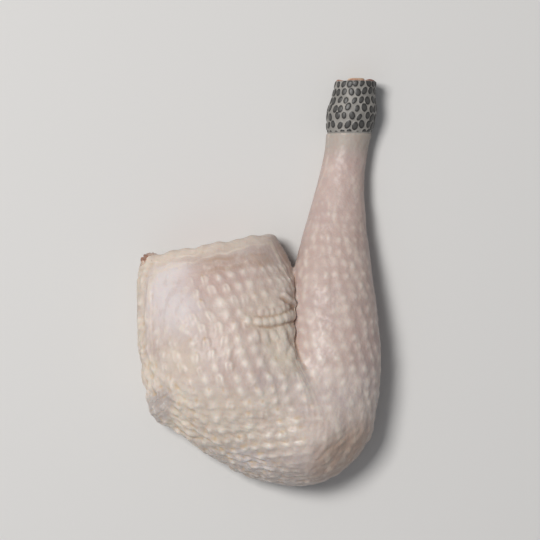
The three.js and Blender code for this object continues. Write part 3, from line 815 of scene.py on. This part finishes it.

# %% [markdown]
# Pushing the points along their normals turns the numbers into skin. What the shader needs to
# know, such as how far up a bump a point is, goes with the mesh as attributes. Creases are
# painted darker, as painted shade, and crests paler, so both are measured: how far each point
# lies below or above the mean of the skin round it. The flat underside and the cut ends stay where they are.

# %% Painted shade in the creases, and paler crests
CREASE_ROUNDS = 20  # the mean of the skin is taken over a millimetre or two round each point
CREASE_DEPTH = 0.3  # a crease or crest takes all of its colour this far from the mean
deeper = (smoothed(relief[:, None], quads, CREASE_ROUNDS)[:, 0] - relief) / CREASE_DEPTH
crumpled = np.clip(highest([slack, low_edge, rim_side, 0.6 * knee_front, 0.7 * flank]), 0, 1)
quiet = highest([firm, knee_end, left_side])
bead_tops = highest([rolled, 0.8 * upper, pleats, lobes])
# Cream where fat lies under the skin. Beside the crease it is also painted light: that slope is made paler
# where the lamp leaves it in shade.
fat_and_painted_light = highest([
    0.9 * crease_side + 0.9 * along(ROLL, 3.2) + 0.6 * fine_lines * thigh_only,
    0.8 * flank,
    0.9 * firm,
    0.9 * rim_side,
    0.7 * low_edge,
    0.55 * step(7, 2, hip) * thigh_only,
    0.45 * patch(-32, 48, 11, 14),
    0.62 * patch(-12, 26, 30, 18),
    0.35 * patch(8, 82, 12, 14) * thigh_only,
])
fat_and_painted_light = fat_and_painted_light * (1 + 0.35 * noise(place / 4.5, 47))
blush = highest([
    patch(-14, 87, 17, 8, turn=8, soft=0.7) * thigh_only * step(3, 7, hip),
    0.45 * patch(-10, 58, 13, 22, turn=10),
    0.7 * on_shin * step(36, 60, y),
])
tan_arcs = step(3, 7, hip) * step(16, 11, hip) * step(-38, -14, x) * thigh_only
# Tan skin along the cut and on the tuck's fold. The knee's side, the groove beside the tuck and the furrow
# are also made darker brown: painted shade.
tan_and_shade = highest([
    tan_arcs * (0.46 + 0.45 * stretch_lines + 0.2 * wander - 0.4 * fine_lines),
    0.3 * patch(5, 74, 12, 13, soft=0.7) * thigh_only,
    0.35 * along(TUCK, 1.3),
    0.7 * along(TUCK_SHADE, 1.2),
    0.5 * along(FURROW, 0.9),
    0.7 * knee_side,
])
# Painted shade: a patch on the left of the thigh and most of the drumstick are made greyer, darker and a
# little glossier, as shade.
painted_shade = np.maximum(0.2 * patch(-35, 54, 9, 14) * thigh_only, on_shin * step(40, 60, y) * step(130, 100, y))
# Wet skin is greyer and glossier: the knee's front and side, and the pocket, whose grey is partly painted
# shade in its hollow.
wet_and_shade = knee_front + 0.4 * knee_side + 0.9 * pocket + 0.3 * patch(-2, 20, 34, 12)
looks = {
    "bump_height": np.maximum(bumps * strength * (1 - 0.35 * quiet), 0.7 * bead_tops),
    "crease": np.clip(deeper, 0, 1) * (1 - 0.5 * crumpled),
    "crest": np.maximum(-deeper, 0.5 * np.maximum(low_edge, firm)),
    "fleck": flecks * np.sqrt(strength) * thigh_only,
    "blush": blush,
    # Painted sheen: a pale cool patch on the upper left of the thigh stands in for a broad soft highlight.
    "painted_sheen": patch(-36, 83, 11, 17, soft=0.8) * thigh_only * (1 - flank) * step(3, 8, hip),
    "fat_and_painted_light": fat_and_painted_light,
    "lilac": highest([0.3 * on_shin * step(30, 60, y), 0.7 * pocket, 0.2 * (1 - fat_and_painted_light)]),
    "thin": patch(-2, 12, 9, 4.5, turn=-20, soft=0.8),
    "tan_and_shade": tan_and_shade,
    # The painted shade patches go into the same attribute, and the skin below 9 mm is made greyer and
    # glossier too.
    "wet_and_shade": wet_and_shade + 0.3 * painted_shade + 0.5 * step(9, 2, z),
    "crumpled": crumpled,
    "hock": step(132, 149, y) * on_shin,
}
print("looks", *looks)

# %% The skin's mesh
def mesh_object(name, points, faces, attributes):
    """An object from points in mm on the plan, put in the frame, with smooth faces."""
    mesh = bpy.data.meshes.new(name)
    mesh.from_pydata(((points + TO_FRAME) * MM).tolist(), [], faces.tolist())
    mesh.shade_smooth()
    for key, values in attributes.items():
        mesh.attributes.new(key, "FLOAT", "POINT").data.foreach_set("value", np.asarray(values, np.float32))
    made = bpy.data.objects.new(name, mesh)
    bpy.context.collection.objects.link(made)
    return made


still = np.maximum(step(1.4, 0.2, z), step(1.6, 0.3, SHIN_END - y))
still = np.maximum(still, step(1.6, 0.3, hip) * thigh_only)
looks = {name: np.clip(values, 0, 1) for name, values in looks.items()}
skin = mesh_object("leg_skin", pushed(points, quads, relief * (1 - still)), quads, looks)
print("skin", len(quads), "quads")

# %% [markdown]
# Raw poultry skin is thin, moist and half clear. Light enters it and comes out again about a
# millimetre away, redder than it went in, which is subsurface scattering. Where fat lies
# under it the skin is cream, where muscle does it is lilac and pink, and the bumps are palest
# of all. Moisture on top gives small soft highlights.

# %% Colours and patterns for every finish
def mottle(tree, size, detail=2.0, stretch=(1, 1, 1)):
    """Noise from 0 to 1 whose blotches are about size millimetres across."""
    place = add(tree, "ShaderNodeTexCoord").outputs["Object"]
    per_metre = [share / (size * MM) for share in stretch]
    scaled = add(tree, "ShaderNodeVectorMath", {0: place, 1: per_metre}, operation="MULTIPLY")
    sockets = {"Vector": scaled.outputs[0], "Scale": 0.5, "Detail": detail}
    return add(tree, "ShaderNodeTexNoise", sockets).outputs["Fac"]


def eased(tree, source, low, high, to_low=0.0, to_high=1.0):
    """A source, eased from its range low to high into another: a mesh attribute's name, the size
    of blotches in millimetres, or a socket."""
    if isinstance(source, str):
        source = add(tree, "ShaderNodeAttribute", attribute_name=source).outputs["Fac"]
    elif isinstance(source, (int, float)):
        source = mottle(tree, source)
    sockets = {"Value": source, "From Min": low, "From Max": high, "To Min": to_low, "To Max": to_high}
    return add(tree, "ShaderNodeMapRange", sockets, interpolation_type="SMOOTHSTEP").outputs["Result"]


def layered(tree, colour, layers):
    """A colour with others over it: each covers more, up to most, as its source goes low to high."""
    for source, low, high, most, over in layers:
        below, over = (linear(c) if isinstance(c, str) else c for c in (colour, over))
        sockets = {0: eased(tree, source, low, high, 0, most), 6: below, 7: over}
        colour = add(tree, "ShaderNodeMix", sockets, data_type="RGBA").outputs[2]
    return colour


def finish(shader, colour, roughness, normal, **constants):
    """Links what varies over a surface and sets the rest, where _ in a name stands for a space."""
    for name, value in {"Base Color": colour, "Roughness": roughness, "Normal": normal}.items():
        shader.id_data.links.new(value, shader.inputs[name])
    for name, value in constants.items():
        shader.inputs[name.replace("_", " ")].default_value = value
    print("a finish of", len(shader.id_data.nodes), "nodes")


# %% Skin: moist plucked poultry skin, water over a scattering layer
LONGWAYS = (1, 0.5, 1)  # blotches twice as long along the leg as across it
tree, shader = material(skin, "moist_plucked_skin")
creases, slackness, tan_flecks, wet_and_shade_share = (
    add(tree, "ShaderNodeAttribute", attribute_name=name).outputs["Fac"]
    for name in ("crease", "crumpled", "fleck", "wet_and_shade")
)
crevices = add(tree, "ShaderNodeMath", {0: creases, 1: slackness}, operation="MULTIPLY").outputs[0]
specks = mottle(tree, 2.2, 4, LONGWAYS)
colour = layered(tree, "#c2b1a7", [  # source, low, high, most, colour
    (16, 0.38, 0.62, 1, "#bdaea9"),
    (5, 0.42, 0.62, 0.5, "#d2c4ba"),
    ("lilac", 0, 1, 0.75, "#cabfc1"),
    # Painted sheen on the upper left of the thigh.
    ("painted_sheen", 0, 1, 0.85, "#d7cecd"),
    ("fat_and_painted_light", 0, 1, 0.75, "#d7cab8"),
    # Grey where the skin is wet, and painted shade where this attribute carries it.
    ("wet_and_shade", 0, 1, 0.75, "#aaa09a"),
    ("thin", 0, 1, 0.6, "#cbc4c5"),
    ("blush", 0, 1, 0.6, "#b89b92"),
    ("bump_height", 0.02, 0.75, 0.52, "#e5dbd0"),
    ("crest", 0, 1, 0.45, "#e8dfd5"),
    # Painted shade: creases are made darker brown. Slack skin is yellow in its hollows.
    ("crease", 0.1, 1, 0.5, "#b09279"),
    (crevices, 0.05, 0.5, 0.6, "#cfb48e"),
    # Tan skin, and painted shade in grooves and along the knee's side.
    ("tan_and_shade", 0, 1, 0.8, "#a98d79"),
    ("hock", 0, 1, 0.7, "#a9a49a"),
    (specks, 0.52, 0.68, 0.3, "#e3d8cc"),
    (specks, 0.46, 0.34, 0.25, "#b09a90"),
])
some = {0: tan_flecks, 1: eased(tree, 4, 0.4, 0.58, 0.1, 0.6)}
some_flecks = add(tree, "ShaderNodeMath", some, operation="MULTIPLY").outputs[0]
flecked = {0: some_flecks, 6: colour, 7: linear("#bd9c6e")}
colour = add(tree, "ShaderNodeMix", flecked, data_type="RGBA").outputs[2]
moist = eased(tree, 3, 0.3, 0.7, 0.46, 0.6)
gloss = add(tree, "ShaderNodeMath", {0: wet_and_shade_share, 1: -0.24, 2: moist}, operation="MULTIPLY_ADD").outputs[0]
uneven = {0: mottle(tree, 2.4, 3, LONGWAYS), 1: eased(tree, "crumpled", 0, 1, 0.6, 1.7)}
height = add(tree, "ShaderNodeMath", uneven, operation="MULTIPLY").outputs[0]
wrinkles = add(tree, "ShaderNodeBump", {"Height": height, "Strength": 0.6, "Distance": 0.6 * MM})
# The skin's own grain is a few tenths of a millimetre, too fine to show here, so it is drawn at 1 mm.
grain = {"Height": mottle(tree, 1.0), "Strength": 0.7, "Distance": 0.3 * MM}
grained = add(tree, "ShaderNodeBump", {**grain, "Normal": wrinkles.outputs[0]}).outputs[0]
finish(
    shader, colour, gloss, grained, IOR=1.4, Coat_Weight=0.2, Coat_Roughness=0.25, Coat_IOR=1.33,
    Subsurface_Weight=0.2, Subsurface_Radius=(1.0, 0.5, 0.3), Subsurface_Scale=0.6 * MM,
)
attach(skin, "root")
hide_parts("leg_quarter")

# %% [markdown]
# The cut hip shows the thigh's muscles end on, set back a little inside the rim of skin. A
# muscle is a bundle of bundles: eight lie side by side with pale seams of fat and gristle
# between, and each is grained with bundles a millimetre or two across. The face is another
# field, swollen over each muscle, and lumps of that size are pressed into it.

# %% Meat in the hip cut
MUSCLES = [  # x, z, width, swell
    (-34, 19, 11, 1.7), (-17, 25, 12, 2.1), (-1, 20, 11, 1.8), (-18, 9, 12, 1.7),
    (-40, 8, 9, 1.2), (-2, 8, 9, 1.4), (-29, 5, 8, 1.1), (6, 14, 7, 1.2),
]
MEAT_DEPTH = 7.0
SEAM_WIDTH = 0.16
BUNDLE = np.array([2.0, 6.0, 1.7])  # mm across, along the thigh and up
MEAT_PITCH = 0.45


def muscle_tops(x, z):
    """How high each muscle swells at a point of the cut."""
    tops = []
    for mx, mz, width, swell in MUSCLES:
        tops.append(swell * (1 - ((x - mx) ** 2 + (1.2 * (z - mz)) ** 2) / width**2))
    return np.stack(np.broadcast_arrays(*tops))


def meat_field(x, y, z):
    face = past_knife(x, y) + MEAT_RECESS - np.maximum(muscle_tops(x, z).max(0), -0.6) * 0.8
    body = overlap(thigh_field(x, y, z) + SKIN_EDGE - 0.5, face, 2.0)
    return overlap(overlap(body, -(past_knife(x, y) + MEAT_DEPTH + MEAT_RECESS), 1), 0.8 - z, 1)


points, quads = surface_of(meat_field, (-54, 84, 0), (20, 112, 42), MEAT_PITCH, rounds=3)
mx, my, mz = points.T
wander_x, wander_z = 1.6 * noise(points / 6, 55), 1.6 * noise(points / 6, 56)
tops = muscle_tops(mx + wander_x, mz + wander_z)
whose = tops.argmax(0) / len(MUSCLES)
tops = np.sort(tops, axis=0)
seam_width = SEAM_WIDTH * np.clip(1.1 + 1.8 * noise(points / 4, 58), 0.35, 3)
seam = np.exp(-(((tops[-1] - tops[-2]) / seam_width) ** 2))
bundles = lumps(points / BUNDLE + 0.35 * noise(points / 3, 51)[:, None], 53)
on_face = step(-3.2, -1.6, past_hip(mx, my))
relief = on_face * (0.32 * (bundles - 0.5) - 0.5 * seam + 0.3 * noise(points / 4, 57))
points = pushed(points, quads, relief)
rim_fat = step(-3.9, -2.5, thigh_field(mx, my, mz) + 0.5 * noise(points / 4, 59))
looks = {"seam": np.maximum(seam, rim_fat), "bundle": bundles, "whose": whose}
meat = mesh_object("hip_meat", points, quads, looks)
print("meat", len(quads), "quads")

# %% Meat: wet raw muscle, whose gloss breaks up over the bundles
tree, shader = material(meat, "wet_raw_muscle")
colour = layered(tree, "#a85f58", [
    (6, 0.38, 0.62, 1, "#c08378"),
    ("whose", 0, 1, 0.5, "#9c4f4a"),
    ("bundle", 0.4, 0.0, 0.35, "#cf9c90"),
    ("seam", 0.35, 0.8, 0.92, "#e6d2c2"),
])
gloss = eased(tree, 2, 0.3, 0.7, 0.26, 0.42)
# A muscle fibre is under a tenth of a millimetre thick, so they are drawn as strands of 0.9 mm that show.
fibres = add(tree, "ShaderNodeBump", {"Height": mottle(tree, 0.9, 3), "Strength": 0.4, "Distance": 0.2 * MM})
finish(
    shader, colour, gloss, fibres.outputs[0], IOR=1.4, Coat_Weight=0.4, Coat_Roughness=0.15, Coat_IOR=1.33,
    Subsurface_Weight=0.3, Subsurface_Radius=(1.0, 0.35, 0.2), Subsurface_Scale=0.9 * MM,
)
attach(meat, "root")

# %% [markdown]
# The thigh bone's head is the ball of the hip joint. It stands out of the cut at its outer
# corner: a ball of pale gristle on a short neck, with scraps of torn red-brown ligament. Balls
# joined by wide fillets give it its grown shape, and the same lump field roughens it.

# %% Head of the thigh bone
HEAD = (-44.4, 93.2, 14.5)
HEAD_RADIUS = 5.2
NECK = (-38.5, 86.5, 14.8)
NECK_RADIUS = 4.2
SHOULDER = (-40.8, 94.2, 19)
SHOULDER_RADIUS = 3.2
SCRAP = np.array([1.5, 3.0, 1.5])  # the size of a scrap of ligament, in mm
BONE_PITCH = 0.35


def ball(x, y, z, centre, radius):
    return np.sqrt((x - centre[0]) ** 2 + (y - centre[1]) ** 2 + (z - centre[2]) ** 2) - radius


def head_field(x, y, z):
    bone = union(ball(x, y, z, HEAD, HEAD_RADIUS), ball(x, y, z, NECK, NECK_RADIUS), 5)
    return union(bone, ball(x, y, z, SHOULDER, SHOULDER_RADIUS), 3)


points, quads = surface_of(head_field, (-52, 80, 7), (-32, 100, 24), BONE_PITCH)
torn = step(-0.1, 0.4, noise(points / 3.4, 61))
scraps = torn * lumps(points / SCRAP + 0.4 * noise(points / 2, 63)[:, None], 65)
points = pushed(points, quads, 0.75 * scraps - 0.15)
head = mesh_object("thigh_bone_head", points, quads, {"torn": torn})
print("thigh bone head", len(quads), "quads")

# %% Bone end: wet gristle over bone, pale and glossy, with torn red-brown ligament
tree, shader = material(head, "wet_gristle_on_bone")
colour = layered(tree, "#bda08f", [
    (3, 0.35, 0.65, 1, "#a98a7a"),
    ("torn", 0.1, 0.9, 0.85, "#96705f"),
    (mottle(tree, 1.6, 3), 0.5, 0.62, 0.7, "#d8c5b4"),
])
gloss = eased(tree, 2, 0.3, 0.7, 0.26, 0.44)
# Gristle's roughness is finer than the picture shows, so it is drawn at 0.9 mm.
rough = add(tree, "ShaderNodeBump", {"Height": mottle(tree, 0.9, 3), "Strength": 0.4, "Distance": 0.2 * MM})
finish(
    shader, colour, gloss, rough.outputs[0], IOR=1.4, Coat_Weight=0.4, Coat_Roughness=0.15, Coat_IOR=1.33,
    Subsurface_Weight=0.25, Subsurface_Radius=(1.0, 0.5, 0.3), Subsurface_Scale=0.9 * MM,
)
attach(head, "root")
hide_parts("femur")

# %% [markdown]
# Beyond the hock the leg is covered in scales: dark oval plates, two or three millimetres
# across, set in pale grey skin like cobbles in mortar. The plates are laid round the stub in
# staggered rows, each with its own place, size and tilt. They are raised in the mesh, and the
# same numbers colour them.

# %% The scaled stub
STUB_START = 145.0
STUB_END = (41.2, STUB_END_Y, 10.4)
STUB_HEIGHT = 0.9
STUB_RADIUS = curve([
    (STUB_START, 8.2), (149.3, 9.3), (154, 10.1), (158, 10.3), (164.5, 9), (STUB_END_Y, 8.4),
])
PLATES_ROUND = 18
PLATE_ROW = 3.5
PLATE = (1.32, 1.62)  # half width round the stub and half length along it, in mm
PLATE_HEIGHT = 0.38


def stub_axis(y):
    """X and Z of the stub's middle, which runs straight on from the drumstick's."""
    t = (y - SHIN_END) / (STUB_END_Y - SHIN_END)
    return between(SHIN_X(SHIN_END), STUB_END[0], t), between(shin_centre_z(SHIN_END), STUB_END[2], t)


def stub_depth(x, y, z):
    """Distance outside the stub's round form."""
    ax, az = stub_axis(y)
    return np.hypot(x - ax, (z - az) / STUB_HEIGHT) - STUB_RADIUS(y)


def stub_field(x, y, z):
    body = stub_depth(x, y, z)
    hollow = overlap(body + 1.3, STUB_END_Y - 1.2 - y, 0.6)
    body = overlap(overlap(body, y - STUB_END_Y + 0.4 * np.sin(0.9 * x), 1.2), -hollow, 0.6)
    return overlap(overlap(body, STUB_START - y, 0.5), -z, 1.0)


points, quads = surface_of(stub_field, (26, 143, -1), (54, 173, 23), BONE_PITCH)
sx, sy, sz = points.T
ax, az = stub_axis(sy)
around = (np.arctan2(sz - az, sx - ax) / (2 * np.pi) + 0.5) * PLATES_ROUND
length = (sy - STUB_START) / PLATE_ROW
arc = 2 * np.pi * STUB_RADIUS(sy) / PLATES_ROUND
reach = np.full(len(sx), 9.0)
for plate_row, ahead in itertools.product((np.floor(length), np.floor(length) + 1), (0, 1)):
    moved = around + 0.5 * (plate_row % 2)
    plate_column = np.floor(moved) + ahead
    cell = np.stack([plate_row, plate_column % PLATES_ROUND], 1)
    aside, onwards, turned, large = (random_at(cell, 71 + n) for n in range(4))
    v = (length - plate_row + 0.3 * (onwards - 0.5)) * PLATE_ROW
    u = (moved - plate_column + 0.3 * (aside - 0.5)) * arc + 0.6 * v * (turned - 0.5)
    reach = np.minimum(reach, np.hypot(u / PLATE[0], v / PLATE[1]) / (0.86 + 0.28 * large))
outside = step(-0.9, -0.5, stub_depth(sx, sy, sz)) * step(STUB_END_Y, STUB_END_Y - 1.2, sy)
plates = step(1.12, 0.86, reach) * outside * step(SHIN_END - 0.4, SHIN_END + 0.8, sy)
relief = plates * PLATE_HEIGHT * (1 - 0.3 * np.minimum(reach, 1) ** 2) * step(0.2, 1.2, sz)
points = pushed(points, quads, relief)
looks = {"plate": plates, "reach": reach, "outside": outside}
stub = mesh_object("scaled_stub", points, quads, looks)
print("stub", len(quads), "quads")

# %% Scales: horny plates, dark and half glossy, in matt grey skin
tree, shader = material(stub, "horny_scales_in_grey_skin")
horn = layered(tree, "#4c4b49", [("reach", 0.35, 0.95, 1, "#282726")])
raw = layered(tree, "#8f5544", [(2.5, 0.4, 0.6, 1, "#b98a72")])
colour = layered(tree, "#87847f", [
    (4, 0.35, 0.65, 1, "#9a9690"),
    ("plate", 0.3, 0.75, 1, horn),
    ("outside", 0.6, 0.1, 1, raw),
])
gloss = eased(tree, "plate", 0.2, 0.8, 0.55, 0.45)
# Horn is pitted more finely than the picture shows, so its pores are drawn at 0.8 mm.
pore = {"Height": mottle(tree, 0.8, 3), "Strength": 0.35, "Distance": 0.15 * MM}
pores = add(tree, "ShaderNodeBump", pore)
finish(shader, colour, gloss, pores.outputs[0], IOR=1.5, Coat_Weight=0.1, Coat_Roughness=0.3, Coat_IOR=1.33)
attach(stub, "root")
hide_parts("hock_stub")

# %% [markdown]
# The stub was cut across. Inside its ring of scaled skin lies red-brown tendon and gristle,
# and out of the middle stands the shank bone's end, cream with a red core of marrow.

# %% End of the shank bone
BONE_RADIUS = 3.6
BONE_FACE = STUB_END_Y + 0.9  # it stands a little proud of the skin's cut edge
MARROW_RADIUS = 1.5
TENDON = np.array([1.7, 4, 1.7])  # mm across, along and up


def shank_field(x, y, z):
    ax, az = stub_axis(y)
    from_middle, around = np.hypot(x - ax, z - az), np.arctan2(z - az, x - ax)
    bone = overlap(from_middle - BONE_RADIUS - 0.25 * np.sin(3 * around), y - BONE_FACE, 1)
    marrow = overlap(from_middle - MARROW_RADIUS, BONE_FACE - 0.7 - y, 0.5)
    bone = overlap(bone, -marrow, 0.5)
    flesh = overlap(stub_depth(x, y, z) + 0.9, y - STUB_END_Y + 1.1, 1.2)
    return overlap(union(bone, flesh, 1.2), STUB_END_Y - 5 - y, 0.6)


points, quads = surface_of(shank_field, (30, 164, 1), (53, 174, 20), BONE_PITCH)
bx, by, bz = points.T
ax, az = stub_axis(by)
from_axis = np.hypot(bx - ax, bz - az)
end_face = step(-2.6, -1.6, by - STUB_END_Y)
tendons = lumps(points / TENDON, 81)
relief = end_face * step(3.7, 4.5, from_axis) * 0.5 * (tendons - 0.5)
points = pushed(points, quads, relief)
looks = {"from_axis": from_axis, "tendon": tendons}
shank = mesh_object("shank_bone_end", points, quads, looks)
print("shank end", len(quads), "quads")

# %% Cut bone: a porous cream ring round red marrow, in wet red-brown tendon
tree, shader = material(shank, "cut_bone_and_tendon")
tendon = layered(tree, "#8e5040", [("tendon", 0.7, 0.1, 1, "#c39a80")])
colour = layered(tree, "#dccab0", [
    (mottle(tree, 1.2, 3), 0.4, 0.6, 1, "#c4a58c"),
    ("from_axis", 3.5, 4.1, 1, tendon),
    ("from_axis", 1.9, 1.4, 1, "#7c3228"),
])
gloss = eased(tree, 2, 0.3, 0.7, 0.28, 0.45)
# The pores of bone are a few tenths of a millimetre wide, too fine to show, so they are drawn at 0.8 mm.
porous = add(tree, "ShaderNodeBump", {"Height": mottle(tree, 0.8, 3), "Strength": 0.5, "Distance": 0.2 * MM})
finish(
    shader, colour, gloss, porous.outputs[0], IOR=1.45, Coat_Weight=0.35, Coat_Roughness=0.15, Coat_IOR=1.33,
    Subsurface_Weight=0.15, Subsurface_Radius=(1.0, 0.5, 0.3), Subsurface_Scale=0.8 * MM,
)
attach(shank, "root")
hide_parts("shank_bone")
